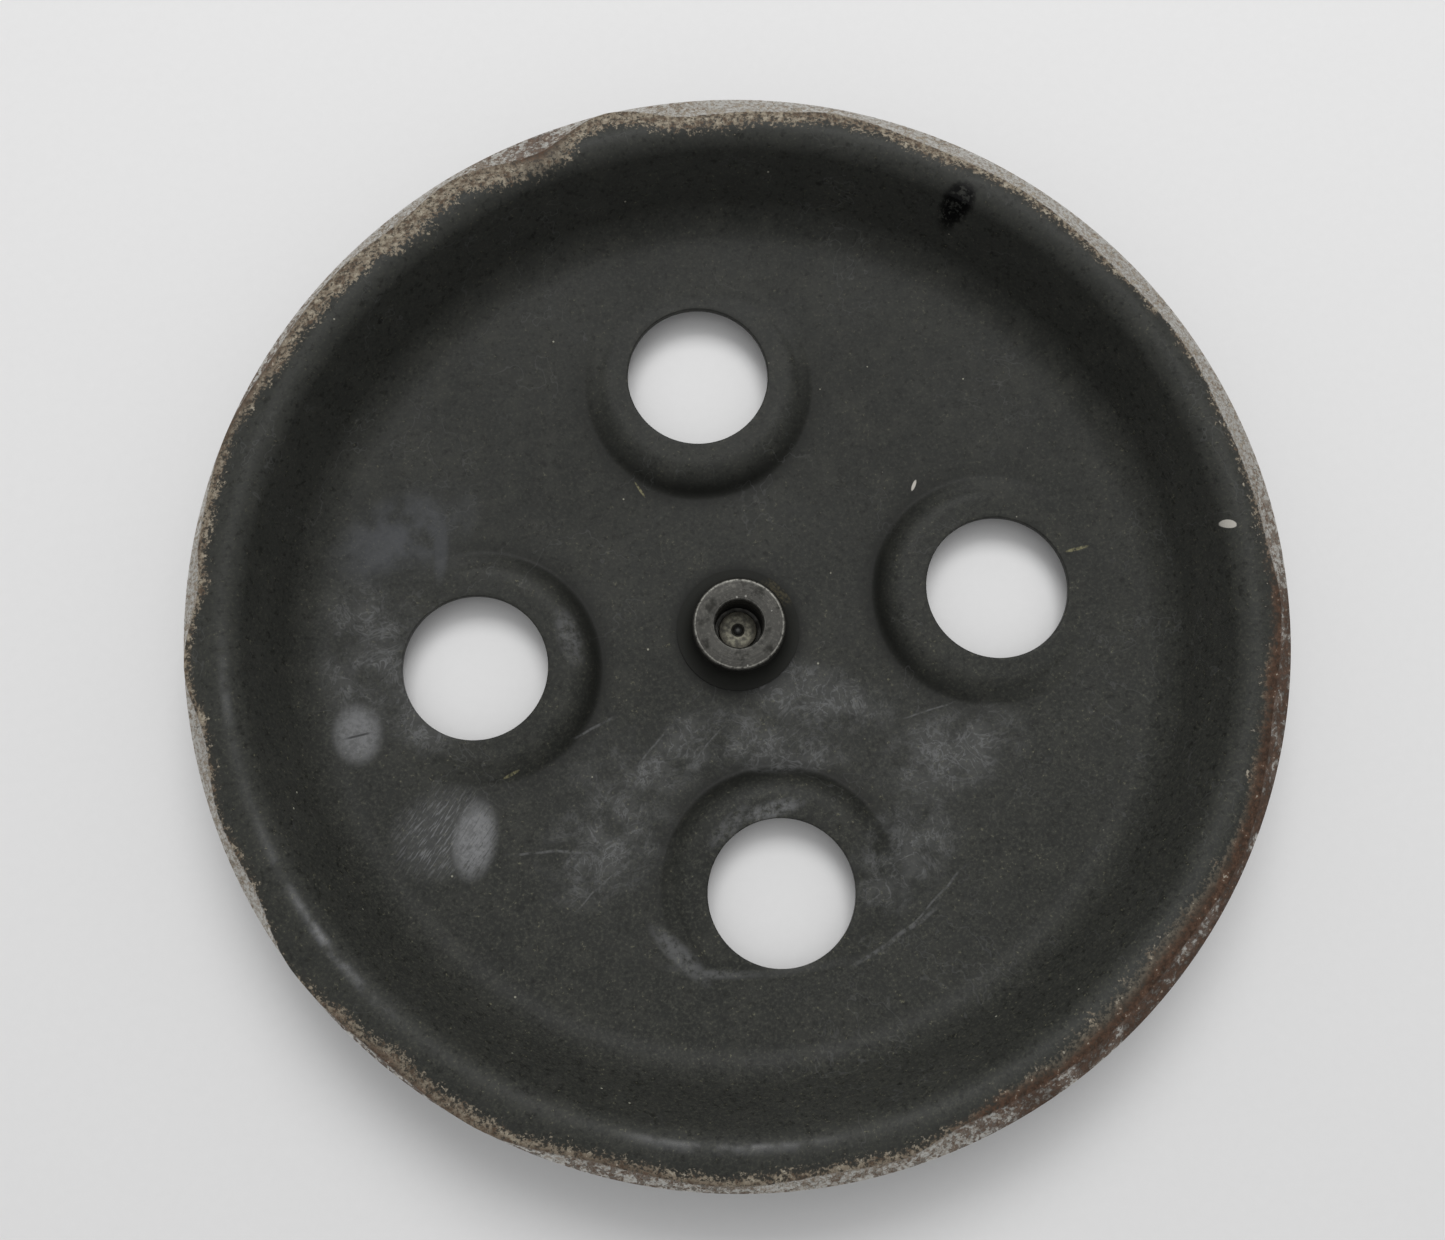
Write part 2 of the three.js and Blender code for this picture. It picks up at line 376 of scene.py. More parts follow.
def pad_height(distance):
    """The pad as a dome about its hole: flat, then a rolled shoulder, then a straight steep flank."""
    reach = SHOULDER_RADIUS * math.sin(SHOULDER_SLOPE)
    out = np.clip(distance - PAD_FLAT_RADIUS, 0, reach)
    rolled = PAD_FACE - SHOULDER_RADIUS + np.sqrt(SHOULDER_RADIUS**2 - out**2)
    flank = np.maximum(distance - PAD_FLAT_RADIUS - reach, 0) * math.tan(SHOULDER_SLOPE)
    return rolled - flank


def sheet_waves(x, y):
    """The slight unevenness that pressing leaves in a big thin web, in millimetres."""
    radius = np.hypot(x, y)
    waves = (0.10 * np.sin(x / 17 + 0.6) * np.cos(y / 23 - 0.4)
             + 0.05 * np.sin((x + y) / 9.5 + 1.9) * np.cos((x - 0.6 * y) / 12.0))
    return waves * smooth_step(radius, 16, 34) * (1 - smooth_step(radius, 82, 96))


def web_height(x, y):
    radius = np.hypot(x, y)
    past = radius - WEB_FLAT_RADIUS
    height = WEB_FACE + math.tan(WEB_SLOPE) * 0.5 * (past + np.sqrt(past**2 + WEB_BEND**2))
    for angle in PAD_ANGLES:
        distance = np.hypot(x - PAD_PITCH_RADIUS * math.cos(angle),
                            y - PAD_PITCH_RADIUS * math.sin(angle))
        pad = pad_height(distance)
        steep = smooth_step(distance, PAD_FLAT_RADIUS, PAD_FLAT_RADIUS + FILLET_SPAN)
        fillet = CREASE_FILLET + (SHOULDER_FILLET - CREASE_FILLET) * steep
        gap = np.clip(0.5 + 0.5 * (pad - height) / fillet, 0, 1)
        height = height + (pad - height) * gap + fillet * gap * (1 - gap)
    return height + sheet_waves(x, y)


HUB_DIRT_AND_SHADE_RADIUS = 15.0
HUB_DIRT_AND_SHADE_WIDTH = 1.8
PAD_DIRT_AND_SHADE_RADIUS = SHOULDER_FOOT - 0.6
PAD_DIRT_AND_SHADE_WIDTH = 3.0


def settled_dirt_and_shade(x, y):
    """Painted shade with some dirt, from 0 to 1: at the foot of each pad's shoulder and round the hub,
    where shade falls.
    """
    radius = np.hypot(x, y)
    dirt_and_shade = np.exp(-((radius - HUB_DIRT_AND_SHADE_RADIUS) / HUB_DIRT_AND_SHADE_WIDTH) ** 2)
    for angle in PAD_ANGLES:
        distance = np.hypot(x - PAD_PITCH_RADIUS * math.cos(angle),
                            y - PAD_PITCH_RADIUS * math.sin(angle))
        drop = np.clip((CREASE_RADIUS - radius) / (CREASE_RADIUS - WEB_FLAT_RADIUS), 0, 1)
        ring = np.exp(-((distance - PAD_DIRT_AND_SHADE_RADIUS) / PAD_DIRT_AND_SHADE_WIDTH) ** 2)
        dirt_and_shade = np.maximum(dirt_and_shade, drop * ring)
    return dirt_and_shade


def face_and_back(x, y):
    """Points on the hollow side and, a sheet's thickness behind them, on the back."""
    nudge = 0.02
    height = web_height(x, y)
    slope_x = (web_height(x + nudge, y) - web_height(x - nudge, y)) / (2 * nudge)
    slope_y = (web_height(x, y + nudge) - web_height(x, y - nudge)) / (2 * nudge)
    normal = np.stack([-slope_x, -slope_y, np.ones_like(x)], -1)
    normal /= np.linalg.norm(normal, axis=-1, keepdims=True)
    face = np.stack([x, y, height], -1)
    return face, face - SHEET * normal


print(f"pad face {PAD_FACE:.2f} mm, crease at {CREASE_RADIUS:.1f} mm from the axis")

# %% [markdown]
# ## The uneven rim
#
# Pressing leaves the lip slightly wavy, and then the edge is turned true. The tool cuts deep where
# the lip stands proud and misses it where it dips, so the band of bare metal is scalloped. Short
# lists say, at each angle, how far in the cut reaches, how rusty the rim is, how far the paint has
# flaked, and where hands have polished the roll, which is also where a highlight is painted on it.

# %% How the edge changes round the wheel
CUT_REACH = [
    (0, 122.3), (13, 121.9), (22, 122.9), (34, 121.6), (47, 122.8), (58, 122.4), (70, 124.2),
    (78, 122.3), (87, 121.0), (96, 126.4), (105, 120.6), (115, 125.0), (122, 123.3), (131, 125.0),
    (142, 124.5), (152, 126.4), (163, 125.0), (169, 123.4), (177, 126.6), (185, 123.3), (193, 124.9),
    (201, 123.9), (210, 126.8), (222, 125.6), (234, 126.8), (247, 123.8), (260, 125.0), (270, 123.7),
    (277, 124.3), (284, 122.0), (299, 123.2), (312, 122.6), (325, 124.6), (341, 122.6), (352, 124.0),
]
RUST_AMOUNT = [
    (0, 0.60), (12, 0.35), (45, 0.30), (80, 0.35), (96, 0.42), (104, 0.80), (114, 0.45), (125, 0.40),
    (150, 0.72), (165, 0.35), (185, 0.32), (206, 0.35), (222, 0.72), (236, 0.62), (248, 0.66),
    (264, 0.48), (280, 0.55), (290, 0.90), (320, 1.00), (350, 0.92),
]
FLAKING = [
    (0, 0.30), (20, 0.25), (45, 0.45), (70, 0.60), (95, 0.80), (112, 1.00), (128, 0.95), (140, 0.70),
    (157, 0.60), (175, 0.35), (190, 0.30), (208, 0.20), (225, 0.75), (250, 0.45), (270, 0.45),
    (285, 0.35), (295, 0.80), (312, 0.95), (340, 0.60),
]
POLISH_AND_HIGHLIGHT = [
    (0, 0.0), (150, 0.0), (172, 0.0), (180, 0.40), (187, 0.10), (202, 0.30), (209, 1.00), (216, 0.6),
    (222, 0.0), (246, 0.0), (253, 0.35), (260, 0.45), (266, 0.30), (273, 0.0), (330, 0.0),
]


def round_the_rim(table, degrees):
    """A value between the listed angles, easing in and out so that it comes round smoothly."""
    angles = np.array([row[0] for row in table] + [table[0][0] + 360.0])
    values = np.array([row[1] for row in table] + [table[0][1]])
    degrees = np.mod(degrees, 360.0)
    i = np.clip(np.searchsorted(angles, degrees, side="right") - 1, 0, len(table) - 1)
    t = smooth_step(degrees, angles[i], angles[i + 1])
    return values[i] + (values[i + 1] - values[i]) * t


RIM_WAVE = 0.12


def rim_dip(degrees):
    """How far the wavy rim lies below its highest place, in millimetres."""
    turn = np.radians(degrees)
    waves = 0.5 * np.sin(3 * turn + 0.7) + 0.3 * np.sin(7 * turn + 2.1) + 0.2 * np.sin(16 * turn)
    return RIM_WAVE * (1 - waves)


print(f"rim: the cut reaches in to {min(reach for _, reach in CUT_REACH):.1f} mm at its widest")

# %% [markdown]
# ## Building the disc as one closed sheet
#
# A grid laid over a plate with holes gives ragged hole edges. So the disc is built from patches that
# each suit their place: rings about the axis for the middle and the rim, and for every hand hole a
# patch of straight lines that run from the hole out to the edges of its quarter. Neighbouring
# patches share the same points along their seams, and welding those gives one closed solid.

# %% Collect patches of points
class Patches:
    """Grids of points, in millimetres, that are welded into one mesh."""

    def __init__(self):
        self.points = []
        self.marks = []
        self.faces = []

    def add(self, grid, edge=None):
        """grid is rows x columns x 3, and its last column joins its first."""
        rows, columns = grid.shape[:2]
        start = sum(len(p) for p in self.points)
        flat = grid.reshape(-1, 3)
        degrees = np.degrees(np.arctan2(flat[:, 1], flat[:, 0]))
        inward = np.hypot(flat[:, 0], flat[:, 1]) - round_the_rim(CUT_REACH, degrees)
        self.points.append(flat)
        self.marks.append(inward if edge is None else np.asarray(edge, float).reshape(-1))
        for r in range(rows - 1):
            for c in range(columns):
                a, b = start + r * columns + c, start + r * columns + (c + 1) % columns
                self.faces.append((a, b, b + columns, a + columns))

    def mesh(self, name):
        points = np.concatenate(self.points)
        marks = np.concatenate(self.marks)
        _, first, which = np.unique(np.round(points, 4), axis=0, return_index=True,
                                    return_inverse=True)
        which = which.reshape(-1)
        faces = []
        for face in self.faces:
            corners = list(dict.fromkeys(int(which[i]) for i in face))
            if len(corners) > 2:
                faces.append(corners)
        mesh = bpy.data.meshes.new(name)
        mesh.from_pydata((points[first] * MM).tolist(), [], faces)
        degrees = np.degrees(np.arctan2(points[first][:, 1], points[first][:, 0]))
        spread = {"edge_mm": marks[first],
                  "rust": round_the_rim(RUST_AMOUNT, degrees),
                  "flaking": round_the_rim(FLAKING, degrees),
                  "polish_and_highlight": round_the_rim(POLISH_AND_HIGHLIGHT, degrees),
                  "dirt_and_shade": settled_dirt_and_shade(points[first][:, 0], points[first][:, 1])}
        for attribute, values in spread.items():
            layer = mesh.attributes.new(attribute, "FLOAT", "POINT")
            layer.data.foreach_set("value", values.astype(np.float32))
        work = bmesh.new()
        work.from_mesh(mesh)
        bmesh.ops.recalc_face_normals(work, faces=work.faces)
        open_edges = sum(not e.is_manifold for e in work.edges)
        work.to_mesh(mesh)
        work.free()
        print(f"{name}: {len(mesh.vertices)} points, {open_edges} open edges")
        return mesh


def circle(count):
    return np.linspace(0, 2 * math.pi, count, endpoint=False)


# %% [markdown]
# ## The middle and the four quarters
#
# The middle of the web is plain rings. Each quarter is a fan of lines that run from its hand hole out
# to the quarter's outline, closely spaced over the shoulder, where the shape bends most. A single
# grid over the whole web would need far more points for the same clean hole edge.

# %% The middle of the web and the four quarters
HUB_HOLE_RADIUS = 10.1
INNER_SEAM = 29.0
OUTER_SEAM = 97.0
INNER_COLUMNS = 96
OUTER_COLUMNS = 360
MIDDLE_RINGS = 16
SIDE_POINTS = 49
HOLE_ROUND = 0.3
HOLE_ROUND_STEPS = 4
FLAT_ROWS = 6
SHOULDER_ROWS = 30
FAR_ROWS = 11
SHOULDER_SPAN = 11.0
SEAM_ROOM = 2.5


def add_middle(patches):
    turn = circle(INNER_COLUMNS)
    rings = np.linspace(HUB_HOLE_RADIUS, INNER_SEAM, MIDDLE_RINGS)
    face, back = face_and_back(np.outer(rings, np.cos(turn)), np.outer(rings, np.sin(turn)))
    patches.add(face)
    patches.add(back)
    patches.add(np.stack([face[0], back[0]]))


def quarter_outline():
    """Points round the quarter centred on +X, starting and ending on its inner corner."""
    half = math.pi / 4
    inner = np.linspace(-half, half, INNER_COLUMNS // 4 + 1)
    outer = np.linspace(half, -half, OUTER_COLUMNS // 4 + 1)
    side = np.linspace(INNER_SEAM, OUTER_SEAM, SIDE_POINTS)
    loops = [
        np.stack([INNER_SEAM * np.cos(inner), INNER_SEAM * np.sin(inner)], -1),
        np.stack([side * math.cos(half), side * math.sin(half)], -1),
        np.stack([OUTER_SEAM * np.cos(outer), OUTER_SEAM * np.sin(outer)], -1),
        np.stack([side[::-1] * math.cos(half), -side[::-1] * math.sin(half)], -1),
    ]
    return np.concatenate([loop[:-1] for loop in loops])


def add_quarter(patches, angle):
    outline = quarter_outline()
    middle = np.array([PAD_PITCH_RADIUS, 0.0])
    away = outline - middle
    reach = np.linalg.norm(away, axis=1)
    heading = away / reach[:, None]
    shoulder_end = np.minimum(PAD_FLAT_RADIUS + SHOULDER_SPAN, reach - SEAM_ROOM)
    flat_end = PAD_FLAT_RADIUS * np.ones_like(reach)
    flat_rows = np.linspace(HOLE_RADIUS + HOLE_ROUND, flat_end, FLAT_ROWS)[:-1]
    shoulder_rows = np.linspace(PAD_FLAT_RADIUS, shoulder_end, SHOULDER_ROWS)
    far_rows = np.linspace(shoulder_end, reach, FAR_ROWS)[1:]
    distance = np.concatenate([flat_rows, shoulder_rows, far_rows])
    local = middle + distance[..., None] * heading
    turn = np.array([[math.cos(angle), math.sin(angle)], [-math.sin(angle), math.cos(angle)]])
    flat = local @ turn
    face, back = face_and_back(flat[..., 0], flat[..., 1])
    patches.add(face)
    patches.add(back)
    wall = (middle + HOLE_RADIUS * heading) @ turn
    corner = []
    for step in np.linspace(0, math.pi / 2, HOLE_ROUND_STEPS)[1:]:
        out = HOLE_ROUND * (1 - math.sin(step))
        ring = (middle + (HOLE_RADIUS + out) * heading) @ turn
        corner.append(np.column_stack([ring, face[0][:, 2] - HOLE_ROUND * (1 - math.cos(step))]))
    foot = np.column_stack([wall, back[0][:, 2] + HOLE_ROUND])
    patches.add(np.stack([face[0], *corner, foot, back[0]]))


print(f"{len(quarter_outline())} lines run out from each hand hole")

# %% [markdown]
# ## The rim
#
# The foot, wall, roll and lip are one section swept round the axis. A Screw modifier would make every
# turn alike, so the rings are written directly: that lets the cut reach in by a different amount at
# each angle, and lets the crest rise and dip a little, as a pressed rim does.

# %% Sweep the rim from the web's seam to the same seam on the back
FOOT_STEPS = 14
ROLL_STEPS = 18
LIP_STEPS = 6


def rim_section():
    """Radius, height and slope from the foot of the wall to the crest of the rim."""
    foot = [(FOOT_CENTRE[0] + WALL_FOOT_RADIUS * math.sin(s),
             FOOT_CENTRE[1] - WALL_FOOT_RADIUS * math.cos(s), s)
            for s in np.linspace(WEB_SLOPE, WALL_SLOPE, FOOT_STEPS)]
    top = roll_point(WALL_SLOPE)
    wall = [tuple(np.array(foot[-1]) + (np.array((*top, WALL_SLOPE)) - foot[-1]) * t)
            for t in (0.25, 0.5, 0.75)]
    roll = [(*roll_point(s), s) for s in np.linspace(WALL_SLOPE, 0, ROLL_STEPS)]
    return np.array(foot + wall + roll)


def add_rim(patches):
    turn = circle(OUTER_COLUMNS)
    degrees = np.degrees(turn)
    cut = round_the_rim(CUT_REACH, degrees)
    dip = rim_dip(degrees)
    ones = np.ones_like(turn)
    rows = []

    def row(radius, height, edge):
        sag = dip * smooth_step(radius, FOOT_CENTRE[0], CREST_RADIUS)
        rows.append((radius * ones, (height - sag) * ones, edge * ones))

    seam_x, seam_y = OUTER_SEAM * np.cos(turn), OUTER_SEAM * np.sin(turn)
    seam_face, seam_back = face_and_back(seam_x, seam_y)
    section = rim_section()
    for radius, height, _ in section:
        row(radius, height, radius - cut)
    for t in (0.2, 0.4, 0.6, 0.8, 0.93, 1.0):
        radius = CREST_RADIUS + (cut - CREST_RADIUS) * t
        row(radius, lip_height(radius), radius - cut)
    cut_height = lip_height(cut)
    for t in (0.06, 0.25, 0.5, 0.75, 0.96):
        row(cut + (OUTER_RADIUS - cut) * t, cut_height + (LAND_TOP - cut_height) * t,
            (OUTER_RADIUS - cut) * t)
    row(OUTER_RADIUS, LAND_TOP - LAND_ROUND, OUTER_RADIUS - cut)
    row(OUTER_RADIUS, EDGE_BOTTOM + EDGE_ROUND, OUTER_RADIUS - cut)
    row(OUTER_RADIUS - EDGE_ROUND, EDGE_BOTTOM, 0.0)
    slopes = np.linspace(-LIP_SLOPE, 0, LIP_STEPS)[:-1]
    back = [(*roll_point(s), s) for s in slopes] + [tuple(p) for p in section[::-1]]
    for radius, height, slope in back:
        behind = radius + SHEET * math.sin(slope)
        row(behind, height - SHEET * math.cos(slope), behind - OUTER_RADIUS)
    grid = np.array([np.stack([r * np.cos(turn), r * np.sin(turn), h], -1) for r, h, _ in rows])
    edge = np.array([e for _, _, e in rows])
    seam_edge = OUTER_SEAM - cut
    patches.add(np.concatenate([seam_face[None], grid, seam_back[None]]),
                edge=np.concatenate([seam_edge[None], edge, seam_edge[None]]))


print(f"rim section: {len(rim_section())} points from the wall's foot to the crest")


# %% [markdown]
# ## Put a piece in its place
#
# A finished mesh becomes a piece of the object: it rides on a body, so it moves as that body does, it
# stands for its CAD part, and it takes its finish from a named slot. Corners sharper than a set angle
# stay crisp and the rest is shaded smooth.

# %% Weld the disc
def put_piece(name, mesh, body, node, material, sharp=35):
    """Adds a mesh as a piece that rides on a body and stands for a CAD node."""
    piece = bpy.data.objects.new(name, mesh)
    bpy.context.scene.collection.objects.link(piece)
    mesh.materials.append(material)
    mesh.shade_smooth()
    mesh.set_sharp_from_angle(angle=math.radians(sharp))
    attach(piece, body)
    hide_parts(node)


disc_patches = Patches()
add_middle(disc_patches)
for pad_angle in PAD_ANGLES:
    add_quarter(disc_patches, pad_angle)
add_rim(disc_patches)
disc_mesh = disc_patches.mesh("disc_pressing")

# %% [markdown]
# ## Worn black paint, rust and turned steel
#
# The disc is one surface with several finishes, each showing where the one above has gone. The paint
# is almost black, and most of what is seen on it is grey sheen, fine olive dust and the curling
# hairlines of rubbing. At the rim it breaks into tan and brown specks and then into bare turned
# steel. Marks carried by the mesh guide this: `edge_mm`, the distance past the turned cut, the
# lists for the rim, of rust, flaking, and polish with its painted highlight, and a mark of painted
# shade with some dirt in the hollows.
#
# The masks are layered in the order that the damage happened, so that each covers what came before.

# %% Marks at known places
def patch_mask(f, at, size, tilt, soft):
    """An oval patch, in millimetres, fading over its outer part."""
    c, s = math.cos(math.radians(tilt)), math.sin(math.radians(tilt))
    u = (f.x - at[0]) * c + (f.y - at[1]) * s
    v = (f.y - at[1]) * c - (f.x - at[0]) * s
    square = u * u / size[0] ** 2 + v * v / size[1] ** 2
    return 1 - f.rise(square, (1 - soft) ** 2, (1 + soft) ** 2)


def line_mask(f, start, end, width, wander=0.0):
    """A rubbed line, strayed from straight by wander, that fades towards both ends."""
    along = np.array(end) - np.array(start)
    length = float(np.hypot(*along))
    c, s = (float(part) for part in along / length)
    u = (f.x - start[0]) * c + (f.y - start[1]) * s
    v = (f.y - start[1]) * c - (f.x - start[0]) * s + wander
    ends = f.rise(u, -1.0, 0.25 * length) * (1 - f.rise(u, 0.75 * length, length + 1.0))
    return ends * (1 - f.rise(abs(v), width * 0.2, width))


def together(masks):
    """The strongest of several masks."""
    total = masks[0]
    for mask in masks[1:]:
        total = total.combine("MAXIMUM", mask)
    return total


def strokes(f, angle, length, width):
    """Short rubbed strokes that all run one way, about length by width millimetres."""
    c, s = math.cos(math.radians(angle)), math.sin(math.radians(angle))
    along = (f.x * c + f.y * s) / length
    across = (f.y * c - f.x * s) / width
    grain = f.clouds(1.0, 2.0, 0.6, place=f.node("ShaderNodeCombineXYZ", None, {0: along, 1: across}))
    return f.rise(grain, 0.50, 0.66)


RUBBED_PATCHES = [
    ((-24, -28), (17, 6.5), 5), ((-10, -25), (9, 5), 0), ((17, -20), (13, 6), -25),
    ((47, -38), (13, 7), 10), ((-40, -47), (12, 9), 30), ((6, -31), (12, 4), -10),
    ((31, -60), (13, 7), 40), ((-88, 5), (9, 14), 10), ((-79, -10), (5, 7), 30),
]
RUBBED_LINES = [
    ((12, -85), (38, -73), 0.8), ((24, -80), (46, -65), 0.4), ((-64, -46), (-40, -49), 0.5),
    ((9, -17), (24, -22), 0.4), ((36, -28), (50, -26), 0.35), ((14, -26), (20, -18), 0.35),
    ((-44, -21), (-33, -17), 0.5), ((-30, -30), (-20, -21), 0.4), ((-17, -31), (-6, -23), 0.4),
    ((40, -44), (56, -34), 0.35), ((-50, -62), (-36, -52), 0.35),
]


print(len(RUBBED_PATCHES), "rubbed patches and", len(RUBBED_LINES), "rubbed lines")

# %% [markdown]
# ## The disc's finish, layer by layer
#
# One long list of nodes would be hard to follow, so every kind of wear has a short function of its
# own. They share the same few noises, so that dust, chips and rust break up along the same grain, as
# they do where one grows from another. Wear from hands and tools is kept to the hollow side.

# %% Noises and marks that the layers share
class PaintedDisc(Finish):
    """The disc's finish, with the marks on its mesh and the noises that its layers share."""

    def __init__(self, name):
        super().__init__(name)
        self.edge = self.mark("edge_mm")
        self.rusty = self.mark("rust")
        self.flaking = self.mark("flaking")
        self.polish_and_highlight = self.mark("polish_and_highlight")
        self.dirt_and_shade = self.mark("dirt_and_shade")
        self.broad = self.clouds(34, 2.0)
        self.middling = self.clouds(7, 3.0)
        self.fine = self.clouds(0.8, 3.0, 0.7)
        self.grit = self.clouds(1.7, 3.0, 0.7)
        self.wander = 3.0 * (self.clouds(14, 2.0) - 0.5)
        self.lower = 0.5 + 0.5 * (1 - self.rise(self.y, -60.0, 60.0))
        facing = self.node("ShaderNodeTexCoord", output="Normal")
        upward = self.node("ShaderNodeSeparateXYZ", None, {0: facing}, output="Z")
        self.on_face = self.rise(upward, -0.1, 0.1)

    def mark(self, name):
        return self.node("ShaderNodeAttribute", {"attribute_name": name}, output="Fac")


# %% Sound paint: mottled, dusty and a little olive
def sound_paint(f):
    tone = f.layer(f.rise(f.broad, 0.3, 0.7), (0.0182, 0.0190, 0.0168), (0.0248, 0.0254, 0.0228))
    tone = f.layer(f.rise(f.middling, 0.42, 0.75) * 0.75, tone, (0.0345, 0.0350, 0.0305))
    # Painted light: from 9 mm up, over the wall, the roll and the lip, the paint is made lighter to lift
    # the shade on the wall.
    tone = f.layer(f.rise(f.z, 9.0, 18.0) * 0.35, tone, (0.046, 0.047, 0.043))
    tone = f.layer(f.rise(f.fine, 0.42, 0.72) * 0.7 * f.lower, tone, (0.058, 0.059, 0.048))
    tone = f.layer(f.rise(f.grit, 0.50, 0.74) * 0.75, tone, (0.0105, 0.0108, 0.0092))
    dust = f.rise(f.fine + 0.22 * (f.middling - 0.5) + 0.25 * (f.grit - 0.5), 0.655, 0.74)
    tone = f.layer(dust * 0.75 * f.lower, tone, (0.135, 0.130, 0.088))
    pits = f.specks(8.5, 1.0, 0.35) * f.rise(f.grit, 0.35, 0.6)
    tone = f.layer(pits * 0.65, tone, (0.009, 0.009, 0.008))
    crumbs = f.specks(6.0, 0.36, 0.22)
    tone = f.layer(crumbs * 0.75, tone, (0.34, 0.33, 0.27))
    # Painted shade with some dirt: darker round the hub's foot and at the foot of each pad's shoulder,
    # where shade falls.
    return f.layer(f.dirt_and_shade * 0.85 * f.on_face, tone, (0.0085, 0.0088, 0.0075)), crumbs


# %% Rubbing: thin haze full of curling hairlines, and lines, and a painted highlight on a crease
def rubbed_marks_and_highlight(f):
    hairs = f.hairlines(7, 0.034, 1.0).combine("MAXIMUM", f.hairlines(12, 0.024, 1.4))
    patches = together([patch_mask(f, at, size, tilt, 0.75) for at, size, tilt in RUBBED_PATCHES])
    patches = patches * f.rise(f.middling + 0.3 * (f.broad - 0.5), 0.30, 0.66)
    lines = together([line_mask(f, a, b, width, f.wander) for a, b, width in RUBBED_LINES])
    stray = f.hairlines(21, 0.006, 0.3) * f.rise(f.broad, 0.45, 0.6) * 0.14
    curl = patch_mask(f, (-26.2, -75.4), (1.7, 6.4), 37, 0.8) * 0.5
    return f.on_face * together([
        patches * (0.22 + 0.45 * hairs * f.rise(f.grit, 0.3, 0.55)),
        lines * f.rise(f.grit, 0.32, 0.62) * 0.45,
        together([crease_wear_and_highlight(f), curl]) * f.rise(f.grit, 0.25, 0.6), stray])


def crease_wear_and_highlight(f):
    """The stretch of the lower pad's crease that is painted pale, a painted highlight with some rubbing,
    which drifts outward to the right.
    """
    place = CREASE_RADIUS - 1.8 + 2.6 * f.rise(f.x, 4.0, 26.0)
    crease = 1 - f.rise(abs(f.radius - place + 0.5 * f.wander), 0.2, 1.6)
    crease = crease * f.rise(f.x, -34.0, -18.0) * (1 - f.rise(f.x, 2.0, 24.0)) * (f.y < 0)
    return crease * (0.15 + 0.32 * (1 - f.rise(f.x, -20.0, -6.0)))


# %% Knocks: two pale scuffs with hatching, and pale spots on the pads that are painted highlights with some wear
def knocked_marks_and_highlights(f):
    hatch = strokes(f, 48, 3.4, 0.5)
    scoured = 0.42 + 0.26 * f.rise(f.grit + 0.4 * (f.fine - 0.5), 0.34, 0.62)
    oval = patch_mask(f, (-70.6, -41.0), (4.0, 7.0), -14, 0.6) * (scoured + 0.12 - 0.35 * hatch)
    hatched = patch_mask(f, (-77.5, -38.5), (8.5, 7.0), 20, 0.75) * (0.14 + 0.42 * hatch)
    round_one = patch_mask(f, (-94.7, -11.9), (4.2, 5.4), 0, 0.6) * scoured
    # Painted highlight with some wear: pale spots on the rounded pad shoulders, where the light glints.
    pad_wear_and_highlight = together([patch_mask(f, (1.0, -45.2), (5.5, 1.5), 6, 0.8),
                         patch_mask(f, (-10, -47.5), (5.0, 1.6), 35, 0.8) * 0.6,
                         patch_mask(f, (-41.5, 4.0), (2.0, 5.2), 10, 0.8) * 0.6])
    pad_wear_and_highlight = pad_wear_and_highlight * f.rise(f.grit, 0.30, 0.70) * 0.5
    return together([oval, hatched, round_one, pad_wear_and_highlight]) * f.on_face


# %% Small marks: a dark tick, a bluish smudge, pale chips and scraps of straw
def small_marks(f, tone):
    tick = line_mask(f, (-97.6, -12.6), (-91.8, -12.0), 0.42)
    tone = f.layer(tick * 0.8 * f.on_face, tone, (0.02, 0.02, 0.02))
    smudge = patch_mask(f, (-77.8, 35.4), (12, 6.5), 20, 0.85) * f.rise(f.middling, 0.25, 0.7) * 0.5
    streak = patch_mask(f, (-69.5, 32.0), (1.4, 6.5), -8, 0.8) * 0.35
    tone = f.layer(together([smudge, streak]) * f.on_face, tone, (0.086, 0.090, 0.100))
    chips = together([patch_mask(f, (114.9, 2.7), (1.6, 0.9), -32, 0.1),
                      patch_mask(f, (49.6, 29.3), (0.4, 1.4), -30, 0.2)])
    tone = f.layer(chips * f.on_face * f.rise(f.grit, 0.30, 0.42), tone, (0.44, 0.42, 0.38))
    straw = together([patch_mask(f, (86.3, 6.4), (2.6, 0.4), 5, 0.3),
                      patch_mask(f, (-18.8, 39.0), (0.28, 2.1), 25, 0.3),
                      patch_mask(f, (-59.9, -27.0), (2.0, 0.35), 20, 0.3)]) * f.on_face
    return f.layer(straw * f.rise(f.fine, 0.3, 0.6) * 0.8, tone, (0.20, 0.185, 0.10))


# %% The roll where hands have polished it, with a painted highlight on it, and a spot of tar
POLISH_AND_HIGHLIGHT_RADIUS = 117.2


def polished_roll_and_highlight(f):
    on_roll = 1 - f.rise(abs(f.radius - POLISH_AND_HIGHLIGHT_RADIUS + 0.3 * f.wander), 0.3, 1.7)
    return on_roll * f.polish_and_highlight * f.on_face * f.rise(f.z, 28.0, 30.0) * f.rise(f.middling, 0.36, 0.56)


def tar_spot(f):
    return patch_mask(f, (67.8, 91.4), (3.6, 3.2), 0, 0.35) * f.rise(f.grit, 0.36, 0.5) * f.on_face


